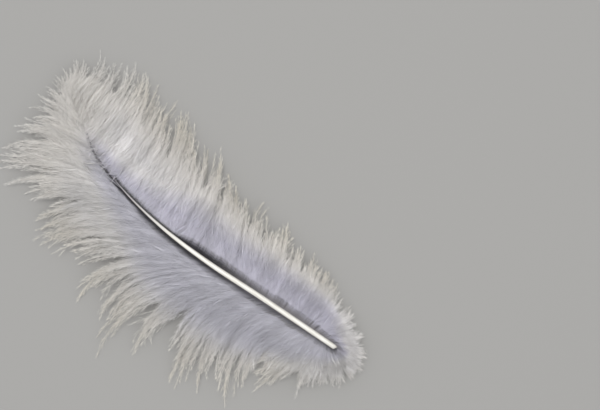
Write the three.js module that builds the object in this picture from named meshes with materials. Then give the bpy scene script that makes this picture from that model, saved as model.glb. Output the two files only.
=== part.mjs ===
// A downy goose plume lying on its underside: one quill and two soft vanes of down.
// Millimetres, +Z up. +X runs from the quill's cut end to the tip, +Y is the left vane's side.

import * as THREE from 'three';
import { mergeVertices } from 'three/addons/utils/BufferGeometryUtils.js';

const { clamp, lerp, smoothstep } = THREE.MathUtils;

// Driving dimensions of the quill. The shaft bows to the left and lies on the down under it.
const QUILL_RADIUS = 0.8; // the bare lower end, the calamus
const TIP_RADIUS = 0.1;
const TAPER_START = 0.33; // shares of the shaft's length
const TAPER_END = 0.85;
const SHAFT_ROUTE = [
  [0, 0, 2.3],
  [26, 3.0, 2.9],
  [49, 5.9, 3.5],
  [66, 6.8, 3.7],
  [82, 5.8, 3.5],
  [97, 2.6, 3.0],
  [112, -3.4, 2.2],
];
const SHAFT_SIDES = 20;
const SHAFT_STEPS = 60;
const CUT_SLANT = 0.55; // how far the cut end leans, as rise over run
const CUT_REACH = 3.2; // the length over which the lean dies out
const LUMEN_RADIUS = 0.45; // the hollow in the cut end
const LUMEN_DEPTH = 1.6;
const FURROW_DEPTH = 0.22; // of the radius, the groove along the underside of the rachis
const FURROW_SPREAD = 0.5; // radians

// Driving dimensions of the vanes. Each margin runs from behind the cut end to the tip.
const LEFT_MARGIN = [
  [-12.5, 2],
  [-11, 8],
  [-3, 15],
  [6, 23],
  [15, 34],
  [28, 43],
  [44, 46],
  [58, 47],
  [74, 43],
  [92, 38],
  [108, 30],
  [118, 19],
  [121.5, 6],
  [121, -7],
];
const RIGHT_MARGIN = [
  [-12.5, 0],
  [-10, -7],
  [-1, -13],
  [14, -16.5],
  [32, -17.5],
  [50, -17],
  [66, -18.5],
  [80, -22.5],
  [92, -25],
  [103, -25.5],
  [112, -22],
  [118, -16],
  [120.5, -9],
];
const QUILL_GAP = 0.35; // between a vane and the quill
const SEAM_GAP = 0.25; // from a vane to the middle line, where no quill lies between the two
const SEAM_CLOSES = [-6, -1.5]; // behind the cut end, where the seam narrows
const LENGTH_BEHIND_CUT = 10;
const LENGTH_PAST_TIP = 8;
const CROWN_HEIGHT = 7; // the highest line of the down
const CROWN_PLACE = 0.35; // from the shaft to the margin
const VALLEY_HEIGHT = 3.2; // beside the shaft
const MARGIN_HEIGHT = 1.2;
const END_HEIGHT = 2.4; // the crown's height at the vane's two ends
const VANE_STEPS = 56;
const VANE_ROWS = 10;

const shaft = new THREE.CatmullRomCurve3(SHAFT_ROUTE.map((point) => new THREE.Vector3(...point)));
const shaftLength = shaft.getLength();

function shaftRadius(share) {
  return lerp(QUILL_RADIUS, TIP_RADIUS, smoothstep(share, TAPER_START, TAPER_END));
}

// The shaft's point, forward direction and left direction at a distance along it. Past either end it
// runs on straight.
function shaftFrame(distance) {
  const share = clamp(distance / shaftLength, 0, 1);
  const forward = shaft.getTangentAt(share);
  const overrun = distance - share * shaftLength;
  const point = shaft.getPointAt(share).addScaledVector(forward, overrun);
  const left = new THREE.Vector3(-forward.y, forward.x, 0).normalize();
  return { point, forward, left, share };
}

function closedGeometry(geometry) {
  geometry.deleteAttribute('normal');
  geometry.deleteAttribute('uv');
  return mergeVertices(geometry, 1e-5);
}

// The quill is turned on a lathe as a straight rod, then each point is carried to its place on the shaft.
function quillGeometry() {
  const profile = [
    new THREE.Vector2(0, LUMEN_DEPTH),
    new THREE.Vector2(LUMEN_RADIUS * 0.7, LUMEN_DEPTH * 0.8),
    new THREE.Vector2(LUMEN_RADIUS, 0),
  ];
  for (let step = 0; step <= SHAFT_STEPS; step += 1) {
    const share = step / SHAFT_STEPS;
    profile.push(new THREE.Vector2(shaftRadius(share), share * shaftLength));
  }
  profile.push(new THREE.Vector2(0, shaftLength + TIP_RADIUS));
  const geometry = closedGeometry(new THREE.LatheGeometry(profile, SHAFT_SIDES));
  const position = geometry.attributes.position;
  for (let index = 0; index < position.count; index += 1) {
    const across = -position.getX(index);
    const along = position.getY(index);
    const up = position.getZ(index);
    const { point, forward, left, share } = shaftFrame(along);
    const above = new THREE.Vector3().crossVectors(forward, left);
    const fromBelow = Math.abs(Math.atan2(across, -up));
    const furrow = FURROW_DEPTH * share * Math.exp(-((fromBelow / FURROW_SPREAD) ** 2));
    const slant = CUT_SLANT * across * Math.max(0, 1 - along / CUT_REACH);
    const place = point
      .addScaledVector(left, across * (1 - furrow))
      .addScaledVector(above, up * (1 - furrow))
      .addScaledVector(forward, slant);
    position.setXYZ(index, place.x, place.y, place.z);
  }
  return geometry;
}

// The height of the down: a valley at the shaft, a crown a third of the way out, a thin margin.
function downHeight(along, across) {
  const fullness = Math.sqrt(Math.sin(Math.PI * clamp(along, 0, 1)));
  const crown = lerp(END_HEIGHT, CROWN_HEIGHT, fullness);
  const valley = Math.min(VALLEY_HEIGHT, crown);
  if (across < CROWN_PLACE) {
    return lerp(valley, crown, smoothstep(across, 0, CROWN_PLACE));
  }
  return lerp(crown, MARGIN_HEIGHT, smoothstep(across, CROWN_PLACE, 1));
}

// A vane starts as a gridded box. Its length follows the shaft, its width reaches out to the margin, and
// its top rises to the down's height over a flat underside. side is 1 for the left vane, -1 for the right.
function vaneGeometry(marginPoints, side) {
  const margin = new THREE.CatmullRomCurve3(marginPoints.map(([x, y]) => new THREE.Vector3(x, y, 0)));
  const geometry = closedGeometry(new THREE.BoxGeometry(1, 1, 1, VANE_STEPS, VANE_ROWS, 1));
  const position = geometry.attributes.position;
  for (let index = 0; index < position.count; index += 1) {
    const along = 0.5 + side * position.getX(index);
    const across = 0.5 + position.getY(index);
    const isTop = position.getZ(index) > 0;
    const distance = lerp(-LENGTH_BEHIND_CUT, shaftLength + LENGTH_PAST_TIP, along);
    const { point, left, share } = shaftFrame(distance);
    const besideQuill = smoothstep(distance, ...SEAM_CLOSES);
    const inset = lerp(SEAM_GAP, shaftRadius(share) + QUILL_GAP, besideQuill);
    const inner = point.addScaledVector(left, side * inset);
    const outer = margin.getPointAt(along);
    const x = lerp(inner.x, outer.x, across);
    const y = lerp(inner.y, outer.y, across);
    position.setXYZ(index, x, y, isTop ? downHeight(along, across) : 0);
  }
  return geometry;
}

function namedMesh(name, geometry, colour, roughness) {
  const material = new THREE.MeshStandardMaterial({ color: colour, roughness, metalness: 0 });
  const mesh = new THREE.Mesh(geometry, material);
  mesh.name = name;
  return mesh;
}

const plume = new THREE.Group();
plume.add(namedMesh('quill', quillGeometry(), 0xf2efe2, 0.3));
plume.add(namedMesh('left_vane', vaneGeometry(LEFT_MARGIN, 1), 0xc6c4c6, 0.95));
plume.add(namedMesh('right_vane', vaneGeometry(RIGHT_MARGIN, -1), 0xcac8c8, 0.95));

// The origin is the middle of the underside.
const bounds = new THREE.Box3().setFromObject(plume);
const middle = bounds.getCenter(new THREE.Vector3());
plume.position.set(-middle.x, -middle.y, -bounds.min.z);
plume.updateMatrixWorld(true);

export default plume;
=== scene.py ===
"""A downy goose plume lying on a pale table: an ivory quill and two vanes of soft down.

Metres, +Z up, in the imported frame: +X runs from the quill's cut end to the tip, and +Y is the side of the
left vane. The down is made of barbs, the strands that grow from the shaft, and of barbules, the fine hairs
on the barbs.
"""

import math

import bpy
import numpy as np
from bpy.props import FloatProperty, FloatVectorProperty, IntProperty, PointerProperty
from mathutils import Matrix, Vector


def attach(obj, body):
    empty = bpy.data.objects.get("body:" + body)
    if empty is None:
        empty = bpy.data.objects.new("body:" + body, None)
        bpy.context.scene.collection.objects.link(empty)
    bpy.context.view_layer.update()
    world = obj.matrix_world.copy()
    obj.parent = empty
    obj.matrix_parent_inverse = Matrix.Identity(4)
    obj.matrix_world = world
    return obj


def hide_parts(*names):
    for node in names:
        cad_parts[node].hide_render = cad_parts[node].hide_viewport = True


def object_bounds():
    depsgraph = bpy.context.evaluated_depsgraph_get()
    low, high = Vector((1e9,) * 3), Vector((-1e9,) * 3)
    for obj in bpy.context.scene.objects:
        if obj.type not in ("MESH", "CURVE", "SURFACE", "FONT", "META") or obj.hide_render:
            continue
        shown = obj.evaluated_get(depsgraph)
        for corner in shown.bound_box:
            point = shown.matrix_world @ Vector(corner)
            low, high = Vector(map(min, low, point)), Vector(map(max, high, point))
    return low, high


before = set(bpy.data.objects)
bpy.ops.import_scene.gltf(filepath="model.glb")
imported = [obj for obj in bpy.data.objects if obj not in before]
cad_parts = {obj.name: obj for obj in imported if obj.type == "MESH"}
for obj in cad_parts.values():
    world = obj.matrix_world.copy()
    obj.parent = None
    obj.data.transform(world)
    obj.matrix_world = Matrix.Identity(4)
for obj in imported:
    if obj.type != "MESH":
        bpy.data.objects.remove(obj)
CAD_LOW, CAD_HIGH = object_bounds()

bl_info = {
    "name": "Downy Plume",
    "version": (1, 0, 0),
    "blender": (4, 5, 0),
    "location": "3D View > Sidebar > Plume",
    "description": "Dresses a goose plume with barbs and barbules of down",
    "category": "Add Mesh",
}

MM = 0.001

# The framing: the image is 600 by 410 pixels, and one pixel is 0.31 mm at the height of focus.
IMAGE_WIDTH, IMAGE_HEIGHT = 600, 410
PIXEL = 0.31 * MM
QUILL_END_AT = (336.5, 348.5)  # where the cut end shows in the image
AXIS_TURN = math.radians(139.24)  # from the image's right to the shaft's chord
FOCUS_HEIGHT = 3 * MM
LENS, SENSOR = 90.0, 36.0  # mm
CLIP_NEAR, CLIP_FAR = 0.01, 20.0  # metres

# The lights: how far right and up in the image they stand from the plume, and their size, all in metres,
# and their power in watts.
KEY_PLACE, KEY_SIZE, KEY_POWER = (-0.02, 0.12), 0.4, 5.3
FILL_PLACE, FILL_SIZE, FILL_POWER = (0.5, -0.7), 1.0, 2.0
LIGHT_HEIGHT = 0.9
WARM_TINT, COOL_TINT = (1.0, 0.99, 0.97), (0.97, 0.98, 1.0)
WORLD_STRENGTH = 0.6
TABLE_SIZE = 4.0

# Each vane's guide barbs, from the quill's cut end to the tip. One row is: share of the shaft's length at
# the root, the barb's end along and across in mm from the cut end, and the angles in degrees from the
# chord at which it leaves the shaft and arrives at its end.
LEFT_GUIDES = (
    (0.00, -12.5, -2.0, 175, 170),
    (0.012, -10.5, 6.5, 145, 145),
    (0.035, -4.0, 14.0, 122, 122),
    (0.055, 3.5, 20.0, 101, 101),
    (0.075, 12.0, 25.5, 80, 80),
    (0.10, 13.5, 30.5, 48, 122),
    (0.13, 15.5, 33.5, 42, 124),
    (0.19, 19.5, 38.5, 38, 122),
    (0.26, 33.0, 46.0, 36, 116),
    (0.31, 47.0, 48.5, 36, 110),
    (0.36, 60.5, 47.5, 36, 106),
    (0.42, 74.0, 42.5, 36, 96),
    (0.48, 88.0, 40.0, 36, 80),
    (0.62, 98.5, 35.5, 32, 66),
    (0.73, 114.5, 27.5, 26, 54),
    (0.82, 122.0, 18.0, 16, 48),
    (0.89, 121.5, 5.5, 2, 40),
    (0.94, 122.0, -3.0, -8, 22),
    (0.97, 121.5, -9.5, -14, -2),
    (1.00, 119.5, -15.0, -20, -18),
)
RIGHT_GUIDES = (
    (0.00, -12.5, 4.0, -178, -180),
    (0.02, -9.0, -6.0, -130, -145),
    (0.05, -1.0, -12.0, -105, -110),
    (0.10, 12.0, -16.5, -92, -78),
    (0.17, 26.0, -18.5, -84, -62),
    (0.26, 40.0, -18.5, -78, -54),
    (0.36, 54.0, -18.5, -76, -50),
    (0.46, 64.5, -21.5, -82, -48),
    (0.56, 74.0, -23.0, -92, -48),
    (0.65, 82.0, -23.5, -98, -48),
    (0.75, 91.0, -23.5, -100, -48),
    (0.84, 99.5, -25.5, -98, -52),
    (0.91, 107.5, -25.5, -85, -55),
    (0.96, 114.0, -22.5, -62, -52),
    (1.00, 119.0, -15.0, -32, -34),
)
# Where the margin is notched: share of the shaft's length at the root, width as a share, and depth as a part
# of the barbs' reach.
LEFT_NOTCHES = (
    (0.090, 0.010, 0.14),
    (0.275, 0.022, 0.26),
    (0.450, 0.022, 0.26),
    (0.660, 0.020, 0.22),
    (0.865, 0.015, 0.15),
)
RIGHT_NOTCHES = (
    (0.220, 0.020, 0.10),
    (0.345, 0.014, 0.15),
    (0.465, 0.013, 0.24),
    (0.585, 0.013, 0.26),
    (0.720, 0.018, 0.12),
)
# Where the down closes over the bare roots: share of the shaft's length, and mm from the shaft's middle.
LEFT_GAPS = (
    (0.00, 0.0), (0.015, 1.7), (0.15, 2.0), (0.45, 2.2), (0.56, 1.9), (0.62, 1.5),
    (0.68, 1.0), (0.74, 1.1), (0.80, 1.0), (0.87, 0.5), (0.92, 0.0),
)
RIGHT_GAPS = (
    (0.00, 0.0), (0.015, 1.6), (0.09, 2.4), (0.24, 2.5), (0.42, 2.8), (0.50, 2.0),
    (0.55, 0.55), (0.62, 0.4), (0.68, 0.25), (0.75, 0.1), (0.80, 0.0),
)

# The map of a piece of down. Across it lie the bare roots, a strip of even width along the shaft, and then
# the rest out to the margin. Up it run the barbs, one beside the other.
MAP_EDGE = 0.02  # how far the map stays inside its square
MAP_NUDGE = 0.0012  # half the width of a fibre on the map
MAP_ROOTS = 0.1  # the share of the map's width that holds the bare roots
MAP_STRIP = 0.3  # and the share where the strip along the shaft ends
MAP_STRIP_WIDTH = 9 * MM
LEAST_STRIP, MOST_STRIP = 0.05, 0.6  # of a barb's length
LEAST_BARE = 0.002  # of a barb's length; a barb with less has no bare root on the map
ROOTS_DARK, ROOTS_LIGHT = 0.07, 0.115  # where on the map the painted shade of the bare roots starts and stops fading


# ------------------------ the shaft, read from the imported quill

BOW_DEGREE, RISE_DEGREE = 6, 4  # of the polynomials that follow the shaft's bow and its height


def node_points(name):
    """The vertices of a CAD node, one row each."""
    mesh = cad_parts[name].data
    points = np.zeros(len(mesh.vertices) * 3)
    mesh.vertices.foreach_get("co", points)
    return points.reshape(-1, 3)


class ShaftLine:
    """The quill's centre line, as smooth curves of y and z over x."""

    def __init__(self):
        points = node_points("quill")
        self.low, self.high = points[:, 0].min(), points[:, 0].max()
        self.across = np.polyfit(points[:, 0], points[:, 1], BOW_DEGREE)
        self.height = np.polyfit(points[:, 0], points[:, 2], RISE_DEGREE)

    def x_at(self, share):
        """Where on the x axis a share of the shaft's length lies."""
        return self.low + share * (self.high - self.low)

    def at(self, share):
        """Points on the centre line at shares of its length."""
        x = self.x_at(share)
        return np.stack([x, np.polyval(self.across, x), np.polyval(self.height, x)], -1)


SHAFT = ShaftLine()
QUILL_END = SHAFT.at(np.array(0.0))


# ------------------------ settings


def linear(code):
    """A hex colour as linear red, green, blue and alpha."""
    parts = [int(code[k : k + 2], 16) / 255 for k in (1, 3, 5)]
    return [c / 12.92 if c <= 0.04045 else ((c + 0.055) / 1.055) ** 2.4 for c in parts] + [1.0]


def length(name, description, size):
    """A length that a user can change."""
    return FloatProperty(name=name, description=description, default=size, subtype="DISTANCE", unit="LENGTH")


def colour(name, description, code):
    """A colour that a user can change."""
    tint = linear(code)
    return FloatVectorProperty(name=name, description=description, default=tint, subtype="COLOR", size=4)


class PlumeDown(bpy.types.PropertyGroup):
    """The sizes of the down.

    Real barbules are about 0.02 mm wide and far more than a mesh can hold, so they are drawn wider and fewer.
    """

    barbs: IntProperty(name="Barbs", description="Barbs on each side of the shaft", default=720, min=20)
    barb_width: length("Barb width", "Thickness of a barb at its root", 0.13 * MM)
    barbule_width: length("Barbule width", "Width of a barbule at its middle", 0.07 * MM)
    silk_length: length("Silk length", "Length of the barbules that lie along a barb", 6.5 * MM)
    fuzz_length: length("Fuzz length", "Length of the barbules that spread from a barb", 2.4 * MM)
    wisp_spacing: length("Wisp spacing", "Distance between the wisps at the margin", 1.05 * MM)
    crown: length("Crown height", "Height of the fullest line of the down", 7.5 * MM)
    seed: IntProperty(name="Seed", description="Picks one natural arrangement of the barbs", default=7)


class PlumeColours(bpy.types.PropertyGroup):
    """The colours of the down, the horn and the table. The left vane is painted a little darker than the
    right, partly as painted shade.
    """

    # The three root colours are painted shade: they paint the bare roots and stubs in the gap beside the
    # shaft dark.
    root: colour("Roots", "Deep shade of the bare roots from the middle of the shaft on", "#504E53")
    left_root_shade: colour("Left lower roots", "Shade of the left bare roots near the cut end", "#7C7A80")
    # The inner greys are partly the down's own lavender tint and partly painted shade of the hollow along the
    # shaft. The left vane's colours are painted darker than the right's, partly as painted shade.
    left_inner: colour("Left inner down", "Cool grey of the left down nearest the shaft", "#C9C8D0")
    left_middle: colour("Left middle down", "Off-white of the left vane", "#D9D7D6")
    right_root_shade: colour("Right lower roots", "Shade of the right bare roots near the cut end", "#A5A2A6")
    right_inner: colour("Right inner down", "Cool grey of the right down nearest the shaft", "#D2D0DB")
    right_middle: colour("Right middle down", "Off-white of the right vane", "#EFEDED")
    margin: colour("Margin", "Warm cream of the barbs' ends", "#DCD7CD")
    tip: colour("Tip", "Off-white where the two vanes meet past the shaft", "#DFDCD8")
    horn: colour("Horn", "Ivory of the quill", "#ECEAE3")
    horn_streak: colour("Horn streaks", "Darker grain of the quill", "#DDD9CF")
    # The horn tip's grey is partly painted shade on the thin end of the shaft.
    shaded_horn_tip: colour("Horn tip", "Shaded grey of the thin end of the shaft", "#6B6771")
    horn_cut: colour("Cut end", "Dull grey of the quill's cut end", "#BDBAB2")
    table: colour("Table", "Pale grey of the table", "#999896")


# ------------------------ materials

MIX_A, MIX_B, MIXED = 6, 7, 2  # the sockets of a mix node's two colours and of its result

# Where the down's colours change along the shaft, as shares of its length. The skirt is the down behind the
# cut end and beside it.
TIP_NARROWS, SKIRT_NARROWS = (0.52, 0.94), 0.11
SKIRT_BEHIND = 4 * MM  # the skirt's grey is narrowest this far behind the cut end
SIDE_NARROWING, TIP_NARROWING, SKIRT_NARROWING = 0.9, 4.0, 2.4  # how many times narrower the cool grey is
SKIRT_WARMS, SKIRT_WARMTH = 0.16, 0.35  # less of the cream shows in the skirt
SHARED_TIP, DEEP_SHADE = (0.80, 0.97), (0.22, 0.42)
# And where they change across the map.
OFF_WHITE, CREAM = (0.26, 0.48), (0.36, 0.85)

# Barbs that lie side by side differ a little in tone, which draws streaks along them. Halfway out, a piece of
# down is 55 mm wide on average, and its barbs are some 30 mm long. The map spreads out with the barbs, so the
# streaks are 1.6 to 3.4 mm wide.
PIECE_WIDTH, BARB_LENGTH = 55.2 * MM, 30 * MM
STREAK_WIDTH, STREAK_LENGTH = 2.3 * MM, 15 * MM
STREAK_NOISE, STREAK_TONE = (0.3, 0.7), (0.83, 1.06)

# Real horn has a finer grain. It is drawn 0.4 mm wide, because a finer one wouldn't show.
GRAIN_WIDTH, GRAIN_LENGTH = 0.4 * MM, 6.667 * MM
GRAIN_STOPS = (0.35, 0.65)
THIN_END = (0.54, 0.79)  # shares of the shaft's length between which the horn turns grey, partly as painted shade
CUT_DEPTH = 1.2 * MM  # how far the dull colour of the cut end reaches


def add(tree, kind, inputs=None, **settings):
    """Adds a node with its settings. An input gets a value, or the output that it is linked to."""
    node = tree.nodes.new(kind)
    for name, value in settings.items():
        setattr(node, name, value)
    for name, value in (inputs or {}).items():
        if isinstance(value, bpy.types.NodeSocket):
            tree.links.new(value, node.inputs[name])
        else:
            node.inputs[name].default_value = value
    return node


def new_material(name):
    """An empty node material and its tree."""
    material = bpy.data.materials.new(name)
    material.use_nodes = True
    material.node_tree.nodes.clear()
    return material, material.node_tree


def grey_narrowing(tree, along):
    """How many times narrower the cool grey is. It narrows near the tip and behind the cut end."""
    by_tip = add(tree, "ShaderNodeMapRange", {
        "Value": along, "From Min": SHAFT.x_at(TIP_NARROWS[0]), "From Max": SHAFT.x_at(TIP_NARROWS[1]),
        "To Min": SIDE_NARROWING, "To Max": TIP_NARROWING,
    }, interpolation_type="SMOOTHSTEP")
    by_skirt = add(tree, "ShaderNodeMapRange", {
        "Value": along, "From Min": SHAFT.x_at(0.0) - SKIRT_BEHIND, "From Max": SHAFT.x_at(SKIRT_NARROWS),
        "To Min": SKIRT_NARROWING, "To Max": SIDE_NARROWING,
    }, interpolation_type="SMOOTHSTEP")
    both = {0: by_tip.outputs[0], 1: by_skirt.outputs[0]}
    return add(tree, "ShaderNodeMath", both, operation="MAXIMUM").outputs[0]


def closed_down(tree, along, out, colours, inner, outer):
    """The colour of the closed down: cool grey by the shaft, partly painted shade, then off-white, then cream
    at the margin.

    along is the place on the x axis, and out is how far out on the map. Past the shaft the two vanes share
    one colour, so that no seam shows between them.
    """
    narrowing = grey_narrowing(tree, along)
    past_roots = add(tree, "ShaderNodeMath", {0: out, 1: ROOTS_LIGHT}, operation="SUBTRACT")
    narrowed = add(tree, "ShaderNodeMath", {
        0: past_roots.outputs[0], 1: narrowing, 2: ROOTS_LIGHT,
    }, operation="MULTIPLY_ADD")
    off_white = add(tree, "ShaderNodeMapRange", {
        "Value": narrowed.outputs[0], "From Min": OFF_WHITE[0], "From Max": OFF_WHITE[1],
    })
    down = add(tree, "ShaderNodeMix", {
        "Factor": off_white.outputs[0], MIX_A: inner, MIX_B: outer,
    }, data_type="RGBA")
    warmth = add(tree, "ShaderNodeMapRange", {
        "Value": along, "From Min": SHAFT.x_at(0.0), "From Max": SHAFT.x_at(SKIRT_WARMS),
        "To Min": SKIRT_WARMTH,
    })
    warm = add(tree, "ShaderNodeMapRange", {
        "Value": out, "From Min": CREAM[0], "From Max": CREAM[1], "To Max": warmth.outputs[0],
    })
    warmed = add(tree, "ShaderNodeMix", {
        "Factor": warm.outputs[0], MIX_A: down.outputs[MIXED], MIX_B: colours.margin,
    }, data_type="RGBA")
    at_tip = add(tree, "ShaderNodeMapRange", {
        "Value": along, "From Min": SHAFT.x_at(SHARED_TIP[0]), "From Max": SHAFT.x_at(SHARED_TIP[1]),
    }, interpolation_type="SMOOTHSTEP")
    shared = add(tree, "ShaderNodeMix", {
        "Factor": at_tip.outputs[0], MIX_A: warmed.outputs[MIXED], MIX_B: colours.tip,
    }, data_type="RGBA")
    return shared.outputs[MIXED]


def down_material(name, colours, root, inner, outer):
    """Goose down: grown keratin fibres, matt and silky, in pale greys, off-white and cream.

    Faint streaks run along the barbs, and the bare roots beside the shaft are painted dark as painted shade.
    """
    material, tree = new_material(name)
    place = add(tree, "ShaderNodeUVMap", uv_map="OFBake").outputs[0]
    out = add(tree, "ShaderNodeSeparateXYZ", {0: place}).outputs[0]
    position = add(tree, "ShaderNodeTexCoord").outputs["Object"]
    along = add(tree, "ShaderNodeSeparateXYZ", {0: position}).outputs[0]
    down = closed_down(tree, along, out, colours, inner, outer)

    # The bare roots get painted shade from the root colours, deepest from the middle of the shaft on.
    deep = add(tree, "ShaderNodeMapRange", {
        "Value": along, "From Min": SHAFT.x_at(DEEP_SHADE[0]), "From Max": SHAFT.x_at(DEEP_SHADE[1]),
    })
    # root and the shared root colour are painted shade for the bare roots beside the shaft.
    roots = add(tree, "ShaderNodeMix", {
        "Factor": deep.outputs[0], MIX_A: root, MIX_B: colours.root,
    }, data_type="RGBA")
    closed = add(tree, "ShaderNodeMapRange", {"Value": out, "From Min": ROOTS_DARK, "From Max": ROOTS_LIGHT})
    toned = add(tree, "ShaderNodeMix", {
        "Factor": closed.outputs[0], MIX_A: roots.outputs[MIXED], MIX_B: down,
    }, data_type="RGBA")

    streaks = (BARB_LENGTH / STREAK_LENGTH, PIECE_WIDTH / STREAK_WIDTH, 1.0)
    stretched = add(tree, "ShaderNodeMapping", {"Vector": place, "Scale": streaks})
    streak = add(tree, "ShaderNodeTexNoise", {
        "Vector": stretched.outputs[0], "Scale": 1.0, "Detail": 3.0, "Roughness": 0.65,
    }, noise_dimensions="2D")
    tone = add(tree, "ShaderNodeMapRange", {
        "Value": streak.outputs[0], "From Min": STREAK_NOISE[0], "From Max": STREAK_NOISE[1],
        "To Min": STREAK_TONE[0], "To Max": STREAK_TONE[1],
    })
    tinted = add(tree, "ShaderNodeMix", {
        "Factor": 1.0, MIX_A: toned.outputs[MIXED], MIX_B: tone.outputs[0],
    }, data_type="RGBA", blend_type="MULTIPLY")
    fibre = add(tree, "ShaderNodeBsdfPrincipled", {
        "Base Color": tinted.outputs[MIXED], "Roughness": 0.8, "Specular IOR Level": 0.2,
    })
    add(tree, "ShaderNodeOutputMaterial", {"Surface": fibre.outputs[0]})
    return material


def horn_material(colours):
    """Quill keratin: smooth grown horn with a waxy gloss, ivory white and grey at its thin end, partly
    painted shade.
    """
    material, tree = new_material("quill_horn")
    position = add(tree, "ShaderNodeTexCoord").outputs["Object"]
    along = add(tree, "ShaderNodeSeparateXYZ", {0: position}).outputs[0]
    grain_scale = (1 / GRAIN_LENGTH, 1 / GRAIN_WIDTH, 1 / GRAIN_WIDTH)
    drawn = add(tree, "ShaderNodeMapping", {"Vector": position, "Scale": grain_scale})
    grain = add(tree, "ShaderNodeTexNoise", {"Vector": drawn.outputs[0], "Scale": 1.0})
    ramp = add(tree, "ShaderNodeValToRGB", {0: grain.outputs[0]})
    stops = ramp.color_ramp.elements
    stops[0].position, stops[0].color = GRAIN_STOPS[0], colours.horn_streak
    stops[1].position, stops[1].color = GRAIN_STOPS[1], colours.horn
    thin = add(tree, "ShaderNodeMapRange", {
        "Value": along, "From Min": SHAFT.x_at(THIN_END[0]), "From Max": SHAFT.x_at(THIN_END[1]),
    })
    shade = add(tree, "ShaderNodeMix", {
        "Factor": thin.outputs[0], MIX_A: ramp.outputs[0], MIX_B: colours.shaded_horn_tip,
    }, data_type="RGBA")
    whole = add(tree, "ShaderNodeMapRange", {
        "Value": along, "From Min": SHAFT.x_at(0.0), "From Max": SHAFT.x_at(0.0) + CUT_DEPTH,
    })
    ended = add(tree, "ShaderNodeMix", {
        "Factor": whole.outputs[0], MIX_A: colours.horn_cut, MIX_B: shade.outputs[MIXED],
    }, data_type="RGBA")
    horn = add(tree, "ShaderNodeBsdfPrincipled", {
        "Base Color": ended.outputs[MIXED], "Roughness": 0.3, "IOR": 1.54,
    })
    add(tree, "ShaderNodeOutputMaterial", {"Surface": horn.outputs[0]})
    return material


def table_material(colours):
    """Painted board: even, matt and pale."""
    material, tree = new_material("pale_table")
    board = add(tree, "ShaderNodeBsdfPrincipled", {"Base Color": colours.table, "Roughness": 0.9})
    add(tree, "ShaderNodeOutputMaterial", {"Surface": board.outputs[0]})
    return material


# ------------------------ small sums


def smooth(value):
    """Eases a 0 to 1 value in and out."""
    value = np.clip(value, 0.0, 1.0)
    return value * value * (3 - 2 * value)


def between(pair, part):
    """The value that lies a part of the way from a pair's first value to its second."""
    return pair[0] + (pair[1] - pair[0]) * part


def unit(vectors):
    """The same directions with a length of one."""
    return vectors / np.maximum(np.linalg.norm(vectors, axis=-1, keepdims=True), 1e-12)


def sideways(along):
    """The level direction square to each direction, on its left."""
    return unit(np.stack([-along[..., 1], along[..., 0], np.zeros(along.shape[:-1])], -1))


def spaced(rng, count):
    """Numbers from 0 to 1 with uneven steps."""
    return (np.arange(count) + rng.uniform(0.0, 1.0, count)) / count


def nearest(values, middles):
    """The index of the middle that each value is nearest to."""
    return np.abs(values[:, None] - middles[None]).argmin(1)


# ------------------------ how a vane's barbs run
#
# Below, a RANGE holds the lowest and the highest value drawn, a SPREAD is a standard deviation, and any other
# pair in brackets holds the value at one end of a run and the value at its other end.

FIELD_STEPS = 201  # places along the shaft at which a vane's shape is worked out
EASED_STEPS = 4  # how many of them round off a corner between two guides
LEAVE_PULL, ARRIVE_PULL = 0.40, 0.34  # how long a barb keeps its first and its last direction, of its length
LEAST_SLANT = 0.35
PARTING = 2.5  # how far the barbs part at a notch
RAGGED_STEPS, RAGGED_RANGE = 45, (0.88, 1.12)  # how often and how far the gap beside the shaft widens
COVER_HEIGHT = 0.5 * MM  # how far the barbs' roots rise over the thin end of the shaft
COVER_REACH = 1.2 * MM  # and how far past its middle they start
COVER_FROM, COVER_FULL = 0.84, 0.93  # shares of the shaft's length
END_CROWN, NOTCH_CROWN = 0.5, 0.75  # what is left of the crown's height at a vane's ends and in a notch
CROWN_ARCH = (0.05, 0.95)  # the part of a half circle's arch that the crown follows along the shaft
CROWN_PLACE, CROWN_FALL = 0.35, 0.8  # the reach at which the down is highest, and over which it then falls
LOW_PLACE = 0.2  # the reach at which the lowest barbs are down by the table
LOW_HEIGHT, MARGIN_HEIGHT = 0.5 * MM, 1.4 * MM


def eased(column):
    """A column of numbers with its corners rounded off."""
    kernel = np.hanning(2 * EASED_STEPS + 1)
    padded = np.pad(column, EASED_STEPS, mode="reflect", reflect_type="odd")
    return np.convolve(padded, kernel / kernel.sum(), mode="valid")


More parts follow.
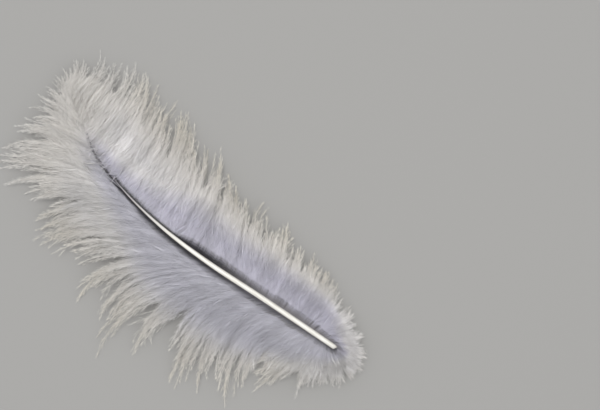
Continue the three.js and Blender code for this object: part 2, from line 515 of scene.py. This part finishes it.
class BarbField:
    """Where a vane's barbs run, seen from above, and how high they lie.

    A barb's place is 0 at the cut end and 1 at the tip. Even steps of it are even along the shaft and the
    margin together. A point's reach is 0 at the shaft and 1 at the margin.
    """

    def __init__(self, guides, notches, gaps, crown, rng):
        rows = np.array(guides, float)
        share = np.linspace(0, 1, FIELD_STEPS)
        end_x, end_y, leave, arrive = (eased(np.interp(share, rows[:, 0], rows[:, k])) for k in range(1, 5))
        root = SHAFT.at(share)
        shaft_turn = np.arctan2(np.gradient(root[:, 1]), np.gradient(root[:, 0]))
        cover = smooth((share - COVER_FROM) / (COVER_FULL - COVER_FROM))
        side = np.sign(np.sin(np.radians(leave) - shaft_turn))
        root = root - sideways(np.gradient(root, axis=0)) * (side * COVER_REACH * cover)[:, None]
        root[:, 2] += COVER_HEIGHT * cover
        end = np.stack([end_x, end_y], -1) * MM + QUILL_END[:2]
        margin_run = np.linalg.norm(np.diff(end, axis=0), axis=-1)
        shaft_run = np.linalg.norm(np.diff(root, axis=0), axis=-1)
        run = np.concatenate([[0.0], np.cumsum(margin_run + shaft_run)])
        full, parting = np.ones_like(share), np.zeros_like(share)
        for at, width, depth in notches:
            offset = (share - at) / width
            full -= depth * np.exp(-(offset**2))
            parting += PARTING * depth * width * offset * np.exp(-(offset**2) / 2)
        self.place = run / run[-1]
        self.crown = crown
        self.root, self.end = root, end
        self.leave, self.arrive = np.radians(leave), np.radians(arrive)
        self.share = share
        self.fullness, self.parting = full, parting
        self.length = np.linalg.norm(end - root[:, :2], axis=-1)
        # How squarely the barbs leave the shaft, which turns a distance from it into one along a barb.
        self.slant = np.maximum(np.abs(np.sin(self.leave - shaft_turn)), LEAST_SLANT)
        ragged = np.interp(share, np.linspace(0, 1, RAGGED_STEPS), rng.uniform(*RAGGED_RANGE, RAGGED_STEPS))
        self.clear = np.interp(share, *np.transpose(gaps)) * ragged * MM / self.slant
        self.margin_length = margin_run.sum()

    def look_up(self, place, *columns):
        """The values of columns at these places."""
        return [np.interp(place, self.place, column) for column in columns]

    def at(self, place, reach, layer):
        """Points in space. layer is 0 along the table and 1 on top of the crown."""
        root_x, root_y, root_z, end_x, end_y = self.look_up(place, *self.root.T, *self.end.T)
        leave, arrive, run = self.look_up(place, self.leave, self.arrive, self.length)
        full, share = self.look_up(place, self.fullness, self.share)
        first_x = root_x + np.cos(leave) * run * LEAVE_PULL
        first_y = root_y + np.sin(leave) * run * LEAVE_PULL
        second_x = end_x - np.cos(arrive) * run * ARRIVE_PULL
        second_y = end_y - np.sin(arrive) * run * ARRIVE_PULL
        q = 1 - reach
        weights = (q**3, 3 * q * q * reach, 3 * q * reach * reach, reach**3)
        x = sum(w * p for w, p in zip(weights, (root_x, first_x, second_x, end_x)))
        y = sum(w * p for w, p in zip(weights, (root_y, first_y, second_y, end_y)))
        arch = np.sqrt(np.sin(np.pi * between(CROWN_ARCH, share)))
        crown = self.crown * between((END_CROWN, 1), arch) * between((NOTCH_CROWN, 1), full)
        low = root_z + (LOW_HEIGHT - root_z) * smooth(reach / LOW_PLACE)
        high = root_z + (crown - root_z) * smooth(reach / CROWN_PLACE)
        high = high + (MARGIN_HEIGHT - crown) * smooth((reach - CROWN_PLACE) / CROWN_FALL)
        return np.stack([x, y, low + (high - low) * layer], -1)


# ------------------------ meshes of fibres

BLADE_FACES = np.array([(0, 2, 1), (2, 3, 1), (0, 1, 3), (0, 3, 2)])
LOWEST_HAIR = 0.1 * MM


def blades(roots, ends, widths, arches, rolls, map_u, map_v):
    """Closed hairs of four faces: pointed at both ends, widest at the middle and arched.

    arches are shares of the hair's length, and rolls turn the arch about the hair. Returns points, faces and
    map places.
    """
    chord = ends - roots
    along = unit(chord)
    side = sideways(along)
    above = np.cross(along, side)
    cos, sin = np.cos(rolls)[:, None], np.sin(rolls)[:, None]
    arch, across = above * cos + side * sin, side * cos - above * sin
    middle = (roots + ends) / 2 + arch * (arches * np.linalg.norm(chord, axis=-1))[:, None]
    half = across * widths[:, None] / 2
    points = np.stack([roots, middle + half, middle - half, ends], 1)
    points[..., 2] += np.maximum(LOWEST_HAIR - points[..., 2].min(1), 0)[:, None]
    faces = (BLADE_FACES[None] + (np.arange(len(roots)) * 4)[:, None, None]).reshape(-1, 3)
    corner_u = np.stack([map_u[0], map_u[1], map_u[1], map_u[2]], 1)
    corner_v = np.stack([map_v, map_v - MAP_NUDGE, map_v + MAP_NUDGE, map_v], 1)
    return points.reshape(-1, 3), faces, np.stack([corner_u, corner_v], -1).reshape(-1, 2)


def strands(lines, widths, map_u, map_v):
    """Closed three-sided rods along centre lines, ending in a point. Returns points, faces and map places."""
    count, steps = lines.shape[:2]
    along = unit(np.gradient(lines, axis=1))
    side = sideways(along)
    above = np.cross(along, side)
    rings = []
    for k in range(3):
        turn = 2 * math.pi * k / 3 + math.pi / 2
        offset = side * math.cos(turn) + above * math.sin(turn)
        rings.append(lines[:, :-1] + offset[:, :-1] * widths[:, :-1, None] / 2)
    points = np.concatenate([np.stack(rings, 2).reshape(count, -1, 3), lines[:, -1:]], 1)
    faces = [(0, 2, 1)]
    tip = (steps - 1) * 3
    for ring in range(0, tip - 3, 3):
        for k in range(3):
            a, b = ring + k, ring + (k + 1) % 3
            faces += [(a, b, b + 3), (a, b + 3, a + 3)]
    faces += [(tip - 3 + k, tip - 3 + (k + 1) % 3, tip) for k in range(3)]
    faces = (np.array(faces)[None] + (np.arange(count) * (tip + 1))[:, None, None]).reshape(-1, 3)
    nudges = MAP_NUDGE * np.array([(0.0, -1.0), (1.0, 0.0), (0.0, 1.0)])
    ring_places = np.stack([map_u[:, :-1], np.repeat(map_v[:, None], steps - 1, 1)], -1)[:, :, None] + nudges
    tip_places = np.stack([map_u[:, -1], map_v], -1)[:, None]
    places = np.concatenate([ring_places.reshape(count, -1, 2), tip_places], 1)
    return points.reshape(-1, 3), faces, places.reshape(-1, 2)


def fibre_object(name, parts, material):
    """Joins lists of points, faces and map places into one flat-shaded object that lies in the frame."""
    points, faces, places, start = [], [], [], 0
    for part_points, part_faces, part_places in parts:
        points.append(part_points)
        faces.append(part_faces + start)
        places.append(part_places)
        start += len(part_points)
    points, faces, places = np.concatenate(points), np.concatenate(faces), np.concatenate(places)
    mesh = bpy.data.meshes.new(name)
    mesh.vertices.add(len(points))
    mesh.vertices.foreach_set("co", points.astype(np.float32).ravel())
    mesh.loops.add(faces.size)
    mesh.loops.foreach_set("vertex_index", faces.astype(np.int32).ravel())
    mesh.polygons.add(len(faces))
    mesh.polygons.foreach_set("loop_start", np.arange(0, faces.size, 3, dtype=np.int32))
    mesh.update(calc_edges=True)
    mesh.shade_flat()
    layer = mesh.uv_layers.new(name="OFBake")
    layer.uv.foreach_set("vector", places[faces.ravel()].astype(np.float32).ravel())
    mesh.materials.append(material)
    piece = bpy.data.objects.new(name, mesh)
    bpy.context.scene.collection.objects.link(piece)
    return piece


# ------------------------ a vane of down

BARB_STEPS = 13
BARB_TAPER = (1.0, 0.25)
LOWEST_BARB = 0.2 * MM

# Barbs draw together in wisps. The wisps past TIP_WISPS of their number crowd past TIP_PLACE, at the tip, and
# WISP_SURPLUS makes up for them.
WISPS_IN_TUFT = 6
TIP_WISPS, TIP_PLACE, WISP_SURPLUS = 0.74, 0.85, 1.17
LOOSE_BARBS, LOOSE_PULL = 0.12, 0.1  # the part of the barbs that hardly draw together, and how much they do
WISP_PULL_RANGE, TUFT_PULL_RANGE = (0.5, 1.0), (0.05, 0.5)
GATHER_RANGE = (4 * MM, 10 * MM)  # the length over which a wisp draws together
GATHER_FROM, GATHER_FULL, TUFT_FROM, PARTING_FROM = 0.45, 0.95, 0.55, 0.5  # parts of a barb

# How far the barbs reach. A wisp's outer barbs are shorter, so it ends in a point.
TUFT_REACH, TUFT_REACH_SPREAD = 1.01, 0.05
WISP_REACH_RANGE, LOOSE_REACH_RANGE = (0.82, 1.06), (0.9, 1.15)
WISP_TAPER, WISP_SHARPNESS, BARB_SHORTFALL = 0.22, 1.6, 0.22
SHORTFALL_POWER = 1.5  # over 1, so that fewer barbs fall far short

# How high they lie. LOW_BARBS is the part that lie under the others.
TUFT_LAYER_RANGE, WISP_LAYER_SPREAD = (0.84, 0.98), 0.04
LOW_BARBS, LOW_LAYER_RANGE = 0.25, (0.0, 0.8)
WISP_LIFT_SPREAD, BARB_LIFT_SPREAD = 0.7 * MM, 0.2 * MM

# How they bend sideways.
FULL_BEND_LENGTH = 42 * MM  # shorter barbs bend less
TUFT_BEND_SPREAD, WISP_BEND_SPREAD, BARB_BEND_SPREAD = 1.2 * MM, 1.5 * MM, 0.40 * MM
LOOSE_BEND = 6.0  # how many times more a loose barb bends
HOOKED_WISPS, HOOK_SPREAD = 0.15, 4.5 * MM
WAVE_SPREAD, WAVE_RANGE, WAVE_START_RANGE = 0.45 * MM, (3, 7), (0, 6)
BEND_POWER, HOOK_POWER, WAVE_POWER, LIFT_POWER = 2.5, 6, 1.5, 2  # higher ones act nearer a barb's end

# The barbules: fuzz spreads from a barb, silk lies along it, and strays stand off from it. Angles in degrees.
FUZZ_PART, STRAY_PART = (0.32, 0.768), 0.04
FUZZ_LEAN, SILK_LEAN, STRAY_LEAN = (30, 44), 7, 14
CLOSED_LEAN, CLOSING_PART = 0.35, 0.15  # how the hairs close in towards a barb's end
MEAN_LIFT, LIFT_SPREAD, STRAY_LIFT = 1, 3, 6
CROSSED_FROM, CROSSED_PART = 0.77, 0.5  # where along the shaft strays lie back over it, and the part that do
FUZZ_LENGTH, SILK_LENGTH, HAIR_LENGTH_RANGE = (1.0, 0.9), (1.0, 0.38), (0.65, 1.2)
OUTER_FROM, OUTER_LENGTH = 0.75, 0.65  # the part of a barb from which its hairs grow shorter, and their least
TIP_FROM, TIP_FULL, TIP_LENGTH = 0.80, 0.92, 0.6  # and the same along the shaft
OVERHANG_RANGE = (0.2 * MM, 1.3 * MM)  # how far a hair runs past the end of its barb
FIRST_HAIR_SPREAD, FIRST_HAIR_PART = 0.35, 0.8  # how unevenly hairs start: of 1 mm, or of PART of the gap
LATEST_START, LAST_HAIR = 0.5, 0.985  # the furthest out on a barb that they start, and where they end
HAIR_SPOTS = (0.0, 0.5, 1.0)  # a hair's root, middle and end
HAIR_ROOT_SPREAD = (0.28 * MM, 0.112 * MM)
HAIR_WIDTH, FUZZ_WIDTH, HAIR_WIDTH_RANGE = (1.15, 0.65), (0.65, 1.05), (0.7, 1.2)
HAIR_ARCH_RANGE, STRAY_ARCH, HAIR_ROLL_SPREAD = (0.01, 0.05), 2.0, 0.4
HAIR_MAP_SPREAD = 0.0015

# The underdown, whose blades each stand for a bundle of barbules, and the stubs, the short hairs of the bare
# roots. The stubs are painted dark with the root colours, as painted shade in the gap beside the shaft.
UNDER_BLADES, STUBS = 6000, 900  # in each piece
UNDER_REACH = 0.42
UNDER_START, UNDER_WIDTH = 0.5 * MM, 0.5 * MM
UNDER_LENGTH, UNDER_SHARE = 5.0 * MM, 0.22  # the lesser counts, and SHARE is of a barb's length
UNDER_LAYER_RANGE, UNDER_LOW, UNDER_RISE = (0.45, 0.78), 0.4, 0.3  # lower beside the shaft
UNDER_POWER = 0.8  # under 1, so that more of it lies further out
UNDER_LENGTH_RANGE, BLADE_WIDTH_RANGE, UNDER_THINNING = (0.7, 1.3), (0.6, 1.2), 0.5
UNDER_TURN_SPREAD = 0.004  # how far in place a blade's end lies from its root
UNDER_ARCH_RANGE, UNDER_ROLL_SPREAD = (0.02, 0.05), 0.2
STUB_LENGTH, STUB_WIDTH = 1.2 * MM, 0.3 * MM
STUB_PLACE, STUB_PART = 0.65, 0.5  # of the gap: how far out they grow, and how long they are in a narrow one
STUB_SINK_RANGE, STUB_LENGTH_RANGE = (0.1, 0.6), (0.6, 1.1)
STUB_TURN_SPREAD, STUB_LIFT_SPREAD = 40, 0.2 * MM  # degrees, and metres
STUB_ARCH, STUB_ROLL_SPREAD, STUB_MAP = 0.06, 0.3, (0.0, 0.01, 0.02)

PIECE_TRIANGLES = 194_000
LEFT_PIECES, RIGHT_PIECES = 3, 2


class Vane:
    """One side's down: its barbs, grown once, and the hairs on them.

    It is cut into pieces. low and high are the places between which the piece in hand lies.
    """

    def __init__(self, guides, notches, gaps, seed):
        self.settings = bpy.context.scene.plume_down
        self.rng = np.random.default_rng(seed)
        self.field = BarbField(guides, notches, gaps, self.settings.crown, self.rng)
        self.low, self.high = 0.0, 1.0
        self.u = np.linspace(0, 1, BARB_STEPS)[None].repeat(self.settings.barbs, 0)
        self.grow_barbs()

    def map_u(self, place, reach):
        """Across the map: the bare roots, then a strip along the shaft, then the rest out to the margin."""
        run, slant, clear = self.field.look_up(place, self.field.length, self.field.slant, self.field.clear)
        bare = clear / run
        strip = np.clip(MAP_STRIP_WIDTH / (run * slant), bare + LEAST_STRIP, MOST_STRIP)
        in_roots = np.where(bare > LEAST_BARE, np.clip(reach / np.maximum(bare, LEAST_BARE), 0, 1), 1)
        in_strip = np.clip((reach - bare) / (strip - bare), 0, 1)
        in_rest = np.clip((reach - strip) / (1 - strip), 0, 1)
        across = MAP_ROOTS * in_roots + (MAP_STRIP - MAP_ROOTS) * in_strip + (1 - MAP_STRIP) * in_rest
        return between((MAP_EDGE, 1 - MAP_EDGE), across)

    def map_v(self, place):
        """Up the map: from one end of the piece to the other."""
        told = np.clip((place - self.low) / (self.high - self.low), 0, 1)
        return between((MAP_EDGE, 1 - MAP_EDGE), told)

    def grow_barbs(self):
        """Lays the barbs out. They draw together in wisps, and the wisps in tufts, towards the margin."""
        rng, field, count = self.rng, self.field, self.settings.barbs
        self.place = spaced(rng, count)
        wisp_at = spaced(rng, int(WISP_SURPLUS * field.margin_length / self.settings.wisp_spacing))
        self.wisp_at = np.interp(wisp_at, (0.0, TIP_WISPS, 1.0), (0.0, TIP_PLACE, 1.0))
        self.tuft_at = spaced(rng, len(wisp_at) // WISPS_IN_TUFT)
        self.wisp = nearest(self.place, self.wisp_at)
        self.tuft = nearest(self.wisp_at, self.tuft_at)[self.wisp]
        self.loose = rng.uniform(0, 1, count) < LOOSE_BARBS
        self.reach = self.reaches()
        layer = self.layers()
        place = np.clip(self.place[:, None] + self.gathering(), 0, 1)
        self.lines = self.bent(field.at(place, self.u * self.reach[:, None], layer[:, None]))

    def reaches(self):
        """How far out each barb goes. A notch in the margin shortens the barbs that run to it."""
        rng, wisp, wisps, count = self.rng, self.wisp, len(self.wisp_at), len(self.place)
        from_middle = np.clip(np.abs(self.wisp_at[wisp] - self.place) * WISP_SHARPNESS * wisps, 0, 1)
        reach = rng.normal(TUFT_REACH, TUFT_REACH_SPREAD, len(self.tuft_at))[self.tuft]
        reach = reach * rng.uniform(*WISP_REACH_RANGE, wisps)[wisp] * (1 - WISP_TAPER * from_middle)
        reach = reach * (1 - BARB_SHORTFALL * rng.uniform(0, 1, count) ** SHORTFALL_POWER)
        reach = reach * self.field.look_up(self.place, self.field.fullness)[0]
        return np.where(self.loose, reach * rng.uniform(*LOOSE_REACH_RANGE, count), reach)

    def layers(self):
        """How high in the down each barb lies: 0 along the table and 1 on top of the crown."""
        rng, count = self.rng, len(self.place)
        layer = rng.uniform(*TUFT_LAYER_RANGE, len(self.tuft_at))[self.tuft]
        layer = layer + rng.normal(0, WISP_LAYER_SPREAD, len(self.wisp_at))[self.wisp]
        is_low = rng.uniform(0, 1, count) < LOW_BARBS
        return np.where(is_low, rng.uniform(*LOW_LAYER_RANGE, count), layer)

    def gathering(self):
        """How far each step of a barb moves in place, to its wisp, to its tuft and away from a notch."""
        rng, field, place, wisp, u = self.rng, self.field, self.place, self.wisp, self.u
        wisps = len(self.wisp_at)
        pull = np.where(self.loose, LOOSE_PULL, rng.uniform(*WISP_PULL_RANGE, len(place)))
        to_wisp = (self.wisp_at[wisp] - place) * pull
        tuft_pull = np.where(self.loose, 0.0, rng.uniform(*TUFT_PULL_RANGE, wisps)[wisp])
        to_tuft = (self.tuft_at[self.tuft] - self.wisp_at[wisp]) * tuft_pull
        run, parting = field.look_up(place, field.length, field.parting)
        gather = rng.uniform(*GATHER_RANGE, wisps)[wisp] / run
        starts = np.maximum(GATHER_FULL - gather, GATHER_FROM)[:, None]
        moved = to_wisp[:, None] * smooth((u - starts) / (GATHER_FULL - starts))
        moved = moved + to_tuft[:, None] * smooth((u - TUFT_FROM) / (1 - TUFT_FROM))
        return moved + parting[:, None] * smooth((u - PARTING_FROM) / (1 - PARTING_FROM))

    def bent(self, lines):
        """The barbs with bends that grow towards their ends. No two wisps run quite alike, and some hook."""
        rng, field, wisp, u = self.rng, self.field, self.wisp, self.u
        wisps, count = len(self.wisp_at), len(self.place)
        size = np.minimum(field.look_up(self.place, field.length)[0] / FULL_BEND_LENGTH, 1.0)
        hooked = rng.uniform(0, 1, wisps) < HOOKED_WISPS
        hook = np.where(hooked, rng.normal(0, HOOK_SPREAD, wisps), 0.0)[wisp]
        bend = rng.normal(0, TUFT_BEND_SPREAD, len(self.tuft_at))[self.tuft]
        bend = bend + rng.normal(0, WISP_BEND_SPREAD, wisps)[wisp]
        bend = bend + rng.normal(0, BARB_BEND_SPREAD, count) * np.where(self.loose, LOOSE_BEND, 1.0)
        wave = u * rng.uniform(*WAVE_RANGE, (wisps, 1))[wisp]
        wave = np.sin(wave + rng.uniform(*WAVE_START_RANGE, (wisps, 1))[wisp])
        wave = wave * rng.normal(0, WAVE_SPREAD, (wisps, 1))[wisp]
        sway = bend[:, None] * u**BEND_POWER + hook[:, None] * u**HOOK_POWER + wave * u**WAVE_POWER
        lines = lines + sideways(np.gradient(lines, axis=1)) * (sway * size[:, None])[..., None]
        lift = rng.normal(0, WISP_LIFT_SPREAD, (wisps, 1))[wisp] + rng.normal(0, BARB_LIFT_SPREAD, (count, 1))
        lines[..., 2] = np.maximum(lines[..., 2] + lift * u**LIFT_POWER, LOWEST_BARB)
        return lines

    def on_barbs(self, owner, at):
        """Points on barbs and the barbs' directions there."""
        spot = at * (BARB_STEPS - 1)
        step = np.minimum(spot.astype(int), BARB_STEPS - 2)
        part = (spot - step)[:, None]
        start, stop = self.lines[owner, step], self.lines[owner, step + 1]
        return start * (1 - part) + stop * part, unit(stop - start)

    def barbs(self, inside):
        """The strands themselves."""
        widths = self.settings.barb_width * between(BARB_TAPER, self.u[inside])
        map_u = self.map_u(self.place[inside, None], self.u[inside] * self.reach[inside, None])
        return strands(self.lines[inside], widths, map_u, self.map_v(self.place[inside]))

    def barbules(self, inside, count):
        """The hairs on the barbs: silk that lies along a barb, fuzz that spreads from it, and strays."""
        rng, field, settings = self.rng, self.field, self.settings
        runs = field.look_up(self.place[inside], field.length)[0] * self.reach[inside]
        owner = rng.choice(inside, count, p=runs / runs.sum())
        place = self.place[owner]
        run, clear, share = field.look_up(place, field.length, field.clear, field.share)
        barb_run = run * self.reach[owner]
        uneven = np.abs(rng.normal(0, FIRST_HAIR_SPREAD, count)) * np.minimum(MM, FIRST_HAIR_PART * clear)
        starts = np.minimum((clear + uneven) / barb_run, LATEST_START)
        at = np.clip(rng.uniform(0.0, 1.0, count), starts, LAST_HAIR)
        root, along = self.on_barbs(owner, at)
        side = sideways(along)
        above = np.cross(along, side)
        kind = rng.uniform(0, 1, count)
        fuzz, stray = kind < between(FUZZ_PART, at), kind > 1 - STRAY_PART

        lean = rng.uniform(0, 1, count) * np.where(fuzz, between(FUZZ_LEAN, at), SILK_LEAN)
        lean = lean + np.where(stray, STRAY_LEAN, 0)
        lean = lean * between((CLOSED_LEAN, 1), smooth((1 - at) / CLOSING_PART))
        lean = (np.radians(lean) * rng.choice([-1, 1], count))[:, None]
        lift = rng.normal(MEAN_LIFT, LIFT_SPREAD, count) + np.where(stray, STRAY_LIFT, 0)
        lift = np.radians(lift)[:, None]
        crossing = stray & (share > CROSSED_FROM) & (rng.uniform(0, 1, count) < CROSSED_PART)
        heading = (along * np.cos(lean) + side * np.sin(lean)) * np.cos(lift) + above * np.sin(lift)
        heading[crossing, :2] *= -1

        fuzz_length = settings.fuzz_length * between(FUZZ_LENGTH, at)
        hair = np.where(fuzz, fuzz_length, settings.silk_length * between(SILK_LENGTH, at))
        hair = hair * rng.uniform(*HAIR_LENGTH_RANGE, count)
        hair = hair * between((1, OUTER_LENGTH), smooth((at - OUTER_FROM) / (1 - OUTER_FROM)))
        hair = hair * between((1, TIP_LENGTH), smooth((share - TIP_FROM) / (TIP_FULL - TIP_FROM)))
        hair = np.minimum(hair, (1 - at) * barb_run + rng.uniform(*OVERHANG_RANGE, count))
        root = root + side * (rng.normal(0, 1, count) * between(HAIR_ROOT_SPREAD, at))[:, None]
        end = root + heading * hair[:, None]
        width = settings.barbule_width * between(HAIR_WIDTH, at) * rng.uniform(*HAIR_WIDTH_RANGE, count)
        width = width * np.where(fuzz, between(FUZZ_WIDTH, at), 1.0)
        arch = rng.uniform(*HAIR_ARCH_RANGE, count) * np.where(stray, STRAY_ARCH, 1.0)
        roll = rng.normal(0, HAIR_ROLL_SPREAD, count)
        reach = at * self.reach[owner]
        map_u = [self.map_u(place, reach + hair / run * part) for part in HAIR_SPOTS]
        map_v = self.map_v(place + rng.normal(0, HAIR_MAP_SPREAD, count))
        return blades(root, end, width, arch, roll, map_u, map_v)

    def underdown(self, count):
        """The thick of the down under its surface."""
        rng, field = self.rng, self.field
        place = rng.uniform(self.low, self.high, count)
        run, clear, full = field.look_up(place, field.length, field.clear, field.fullness)
        reach = rng.uniform(0, 1, count) ** UNDER_POWER * UNDER_REACH * full**2
        reach = np.maximum(reach, (clear + UNDER_START) / run)
        blade = np.minimum(UNDER_LENGTH, UNDER_SHARE * run)
        blade = blade * rng.uniform(*UNDER_LENGTH_RANGE, count)
        layer = rng.uniform(*UNDER_LAYER_RANGE, count)
        layer = layer * between((UNDER_LOW, 1), smooth(reach / UNDER_RISE))
        root = field.at(place, reach, layer)
        end_place = np.clip(place + rng.normal(0, UNDER_TURN_SPREAD, count), 0, 1)
        end = field.at(end_place, reach + blade / run, layer)
        width = UNDER_WIDTH * rng.uniform(*BLADE_WIDTH_RANGE, count) * (1 - UNDER_THINNING * reach)
        arch = rng.uniform(*UNDER_ARCH_RANGE, count)
        roll = rng.normal(0, UNDER_ROLL_SPREAD, count)
        map_u = [self.map_u(place, reach + blade / run * part) for part in HAIR_SPOTS]
        return blades(root, end, width, arch, roll, map_u, self.map_v(place))

    def painted_shade_stubs(self, inside, count):
        """Short hairs low in the gap beside the shaft, painted dark as painted shade."""
        rng, field = self.rng, self.field
        gap = field.look_up(self.place[inside], field.clear)[0]
        owner = rng.choice(inside, count, p=gap / gap.sum())
        place = self.place[owner]
        run, clear = field.look_up(place, field.length, field.clear)
        at = rng.uniform(0.0, STUB_PLACE, count) * clear / (run * self.reach[owner])
        root, along = self.on_barbs(owner, np.minimum(at, LATEST_START))
        root[:, 2] *= rng.uniform(*STUB_SINK_RANGE, count)
        turn = np.radians(rng.normal(0, STUB_TURN_SPREAD, count))[:, None]
        heading = along * np.cos(turn) + sideways(along) * np.sin(turn)
        hair = np.minimum(STUB_LENGTH, STUB_PART * clear)
        hair = hair * rng.uniform(*STUB_LENGTH_RANGE, count)
        end = root + heading * hair[:, None]
        end[:, 2] = root[:, 2] + rng.normal(0, STUB_LIFT_SPREAD, count)
        width = STUB_WIDTH * rng.uniform(*BLADE_WIDTH_RANGE, count)
        arch, roll = np.full(count, STUB_ARCH), rng.normal(0, STUB_ROLL_SPREAD, count)
        map_u = [np.full(count, MAP_EDGE + step) for step in STUB_MAP]
        return blades(root, end, width, arch, roll, map_u, self.map_v(place))


def grow_vane(side_name, guides, notches, gaps, tints, node, pieces):
    """Makes one vane's down in a few pieces, from the cut end to the tip."""
    scene = bpy.context.scene
    vane = Vane(guides, notches, gaps, scene.plume_down.seed + len(side_name))
    # Each vane gets its own copy of the down; the left one is painted darker, partly as painted shade.
    material = down_material(f"{side_name}_down_fibre", scene.plume_colours, *tints)
    for index in range(pieces):
        vane.low, vane.high = index / pieces, (index + 1) / pieces
        inside = np.flatnonzero((vane.place >= vane.low) & (vane.place < vane.high))
        parts = [vane.barbs(inside), vane.underdown(UNDER_BLADES), vane.painted_shade_stubs(inside, STUBS)]
        left_over = PIECE_TRIANGLES - sum(len(faces) for _, faces, _ in parts)
        parts.append(vane.barbules(inside, left_over // len(BLADE_FACES)))
        piece = fibre_object(f"{side_name}_down_{index + 1}", parts, material)
        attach(piece, "root")
        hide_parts(node)


# ------------------------ operators

WELD_DISTANCE = 0.01 * MM


class PLUME_OT_quill(bpy.types.Operator):
    """Finish the quill in ivory horn"""

    bl_idname = "plume.quill"
    bl_label = "Finish the quill"

    def execute(self, context):
        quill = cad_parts["quill"]
        quill.data.materials.clear()
        quill.data.materials.append(horn_material(context.scene.plume_colours))
        weld = quill.modifiers.new("weld", "WELD")
        weld.merge_threshold = WELD_DISTANCE
        return {"FINISHED"}


class PLUME_OT_left_vane(bpy.types.Operator):
    """Grow the down of the left vane"""

    bl_idname = "plume.left_vane"
    bl_label = "Grow the left vane"

    def execute(self, context):
        colours = context.scene.plume_colours
        tints = colours.left_root_shade, colours.left_inner, colours.left_middle
        grow_vane("left", LEFT_GUIDES, LEFT_NOTCHES, LEFT_GAPS, tints, "left_vane", LEFT_PIECES)
        return {"FINISHED"}


class PLUME_OT_right_vane(bpy.types.Operator):
    """Grow the down of the right vane"""

    bl_idname = "plume.right_vane"
    bl_label = "Grow the right vane"

    def execute(self, context):
        colours = context.scene.plume_colours
        tints = colours.right_root_shade, colours.right_inner, colours.right_middle
        grow_vane("right", RIGHT_GUIDES, RIGHT_NOTCHES, RIGHT_GAPS, tints, "right_vane", RIGHT_PIECES)
        return {"FINISHED"}


def area_light(name, place, target, size, power, tint):
    """Adds a soft box that faces a point."""
    data = bpy.data.lights.new(name, "AREA")
    data.shape, data.size, data.energy = "SQUARE", size, power
    data.color = tint
    lamp = bpy.data.objects.new(name, data)
    lamp.location = place
    lamp.rotation_euler = (target - place).to_track_quat("-Z", "Y").to_euler()
    bpy.context.scene.collection.objects.link(lamp)


def camera_above(centre, right, up):
    """A camera that looks straight down on a point, with right and up as in the image."""
    data = bpy.data.cameras.new("camera")
    data.lens, data.sensor_width = LENS, SENSOR
    data.clip_start, data.clip_end = CLIP_NEAR, CLIP_FAR
    camera = bpy.data.objects.new("camera", data)
    place = centre + Vector((0, 0, IMAGE_WIDTH * PIXEL * LENS / SENSOR))
    turn = Matrix((right, up, (0, 0, 1))).transposed()
    camera.matrix_world = Matrix.Translation(place) @ turn.to_4x4()
    bpy.context.scene.collection.objects.link(camera)
    return camera


class PLUME_OT_stage(bpy.types.Operator):
    """Set up the table, the lights and the camera"""

    bl_idname = "plume.stage"
    bl_label = "Set up the stage"

    def execute(self, context):
        scene = context.scene
        bpy.ops.object.select_all(action="DESELECT")
        bpy.ops.mesh.primitive_plane_add(size=TABLE_SIZE, location=(0, 0, 0))
        table = context.active_object
        table.name = "table"
        table.data.materials.append(table_material(scene.plume_colours))

        right = Vector((math.cos(-AXIS_TURN), math.sin(-AXIS_TURN), 0))
        up = Vector((-right.y, right.x, 0))
        to_right = (IMAGE_WIDTH / 2 - QUILL_END_AT[0]) * PIXEL
        to_top = (QUILL_END_AT[1] - IMAGE_HEIGHT / 2) * PIXEL
        centre = Vector((*QUILL_END[:2], FOCUS_HEIGHT)) + right * to_right + up * to_top
        scene.camera = camera_above(centre, right, up)

        middle = (CAD_LOW + CAD_HIGH) / 2
        raised = middle + Vector((0, 0, LIGHT_HEIGHT))
        key = raised + right * KEY_PLACE[0] + up * KEY_PLACE[1]
        area_light("key", key, middle, KEY_SIZE, KEY_POWER, WARM_TINT)
        fill = raised + right * FILL_PLACE[0] + up * FILL_PLACE[1]
        area_light("fill", fill, middle, FILL_SIZE, FILL_POWER, COOL_TINT)
        world = bpy.data.worlds.new("studio")
        world.use_nodes = True
        sky = world.node_tree.nodes["Background"]
        sky.inputs["Color"].default_value = (*COOL_TINT, 1.0)
        sky.inputs["Strength"].default_value = WORLD_STRENGTH
        scene.world = world
        scene.view_settings.view_transform = "Standard"
        return {"FINISHED"}


class PLUME_PT_panel(bpy.types.Panel):
    """Lists the plume's steps"""

    bl_idname = "PLUME_PT_panel"
    bl_label = "Downy plume"
    bl_space_type = "VIEW_3D"
    bl_region_type = "UI"
    bl_category = "Plume"

    def draw(self, context):
        for step in STEPS:
            self.layout.operator(step.bl_idname)


STEPS = (PLUME_OT_quill, PLUME_OT_left_vane, PLUME_OT_right_vane, PLUME_OT_stage)
CLASSES = (PlumeDown, PlumeColours, *STEPS, PLUME_PT_panel)


def register():
    """Registers the settings, the operators and the panel."""
    for cls in CLASSES:
        bpy.utils.register_class(cls)
    bpy.types.Scene.plume_down = PointerProperty(type=PlumeDown)
    bpy.types.Scene.plume_colours = PointerProperty(type=PlumeColours)


def unregister():
    """Takes them away again."""
    del bpy.types.Scene.plume_colours
    del bpy.types.Scene.plume_down
    for cls in reversed(CLASSES):
        bpy.utils.unregister_class(cls)


def main():
    """Builds the plume and the stage."""
    register()
    bpy.ops.plume.quill()
    bpy.ops.plume.left_vane()
    bpy.ops.plume.right_vane()
    bpy.ops.plume.stage()


if __name__ == "__main__":
    main()
